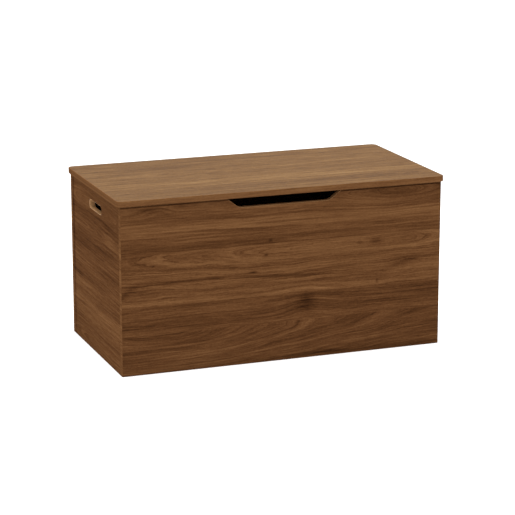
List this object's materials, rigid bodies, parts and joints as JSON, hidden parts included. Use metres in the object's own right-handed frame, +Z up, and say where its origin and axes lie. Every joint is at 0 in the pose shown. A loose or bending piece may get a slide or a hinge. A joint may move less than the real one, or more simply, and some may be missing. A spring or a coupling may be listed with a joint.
{
  "type": "wooden toy box",
  "caption": "Wide flat-lidded board chest for toys, with a grip cut-out in the front edge, a handle slot at each end and a rear-hinged lid held by stays.",
  "frame": {"origin": "on the floor, in the middle of the overall width and of the overall depth, hinge knuckles included", "axes": "+X to the box's right, +Y to its back where the lid is hinged, +Z up"},
  "size_m": [0.9, 0.4724, 0.459],
  "materials": {
    "walnut_board": "dark walnut decor, satin",
    "walnut_edge_band": "walnut decor edge banding, satin",
    "plain_wood": "planed, unfinished",
    "bumper_rubber": "soft clear",
    "black_plastic": "moulded",
    "zinc_casting": "die cast",
    "nickel_steel": "nickel plated",
    "stay_steel": "zinc plated, satin",
    "zinc_steel": "zinc plated"
  },
  "bodies": {
    "box": {"back_panel": "walnut_board", "back_panel_edge_band": "walnut_edge_band", "bottom_panel": "walnut_board", "bottom_panel_screws": "zinc_steel", "cam_bolts": "zinc_steel", "cam_locks": "zinc_casting", "centre_hinge_body_leaf": "nickel_steel", "centre_hinge_pin": "nickel_steel", "corner_dowels": "plain_wood", "front_panel": "walnut_board", "front_panel_edge_band": "walnut_edge_band", "front_rail": "plain_wood", "hinge_body_screws": "zinc_steel", "left_hinge_body_leaf": "nickel_steel", "left_hinge_pin": "nickel_steel", "left_rail": "plain_wood", "left_side_edge_band": "walnut_edge_band", "left_side_panel": "walnut_board", "left_stay_base_plate": "stay_steel", "left_stay_housing": "black_plastic", "left_stay_wall_rivet": "zinc_steel", "lid_bumpers": "bumper_rubber", "rail_screws": "zinc_steel", "rear_rail": "plain_wood", "right_hinge_body_leaf": "nickel_steel", "right_hinge_pin": "nickel_steel", "right_rail": "plain_wood", "right_side_edge_band": "walnut_edge_band", "right_side_panel": "walnut_board", "right_stay_base_plate": "stay_steel", "right_stay_housing": "black_plastic", "right_stay_wall_rivet": "zinc_steel", "stay_wall_screws": "zinc_steel"},
    "lid": {"centre_hinge_lid_leaf": "nickel_steel", "hinge_lid_screws": "zinc_steel", "left_hinge_lid_leaf": "nickel_steel", "left_stay_lid_bracket": "stay_steel", "left_stay_lid_rivet": "zinc_steel", "lid_edge_band": "walnut_edge_band", "lid_panel": "walnut_board", "right_hinge_lid_leaf": "nickel_steel", "right_stay_lid_bracket": "stay_steel", "right_stay_lid_rivet": "zinc_steel", "stay_lid_screws": "zinc_steel"},
    "left_arm": {"left_stay_arm": "stay_steel", "left_stay_elbow_rivet": "zinc_steel"},
    "left_link": {"left_stay_link": "stay_steel"},
    "right_arm": {"right_stay_arm": "stay_steel", "right_stay_elbow_rivet": "zinc_steel"},
    "right_link": {"right_stay_link": "stay_steel"}
  },
  "joints": [
    {"name": "lid_hinge", "type": "hinge", "parent": "box", "child": "lid", "pos_m": [0, 0.23325, 0.443], "axis": [-1, 0, 0], "range_deg": [0, 90]},
    {"name": "left_stay_wall_pivot", "type": "hinge", "parent": "box", "child": "left_arm", "pos_m": [-0.41485, 0.18725, 0.381], "axis": [-1, 0, 0], "range_deg": [0, 90]},
    {"name": "left_stay_elbow", "type": "hinge", "parent": "left_arm", "child": "left_link", "pos_m": [-0.41765, 0.07725, 0.369], "axis": [-1, 0, 0], "range_deg": [-90, 0]},
    {"name": "right_stay_wall_pivot", "type": "hinge", "parent": "box", "child": "right_arm", "pos_m": [0.41485, 0.18725, 0.381], "axis": [-1, 0, 0], "range_deg": [0, 90]},
    {"name": "right_stay_elbow", "type": "hinge", "parent": "right_arm", "child": "right_link", "pos_m": [0.41765, 0.07725, 0.369], "axis": [-1, 0, 0], "range_deg": [-90, 0]}
  ],
  "couplings": [
    {"joint": "left_stay_wall_pivot", "follows": "lid_hinge", "ratio": 1},
    {"joint": "left_stay_elbow", "follows": "lid_hinge", "ratio": -1},
    {"joint": "right_stay_wall_pivot", "follows": "lid_hinge", "ratio": 1},
    {"joint": "right_stay_elbow", "follows": "lid_hinge", "ratio": -1}
  ]
}
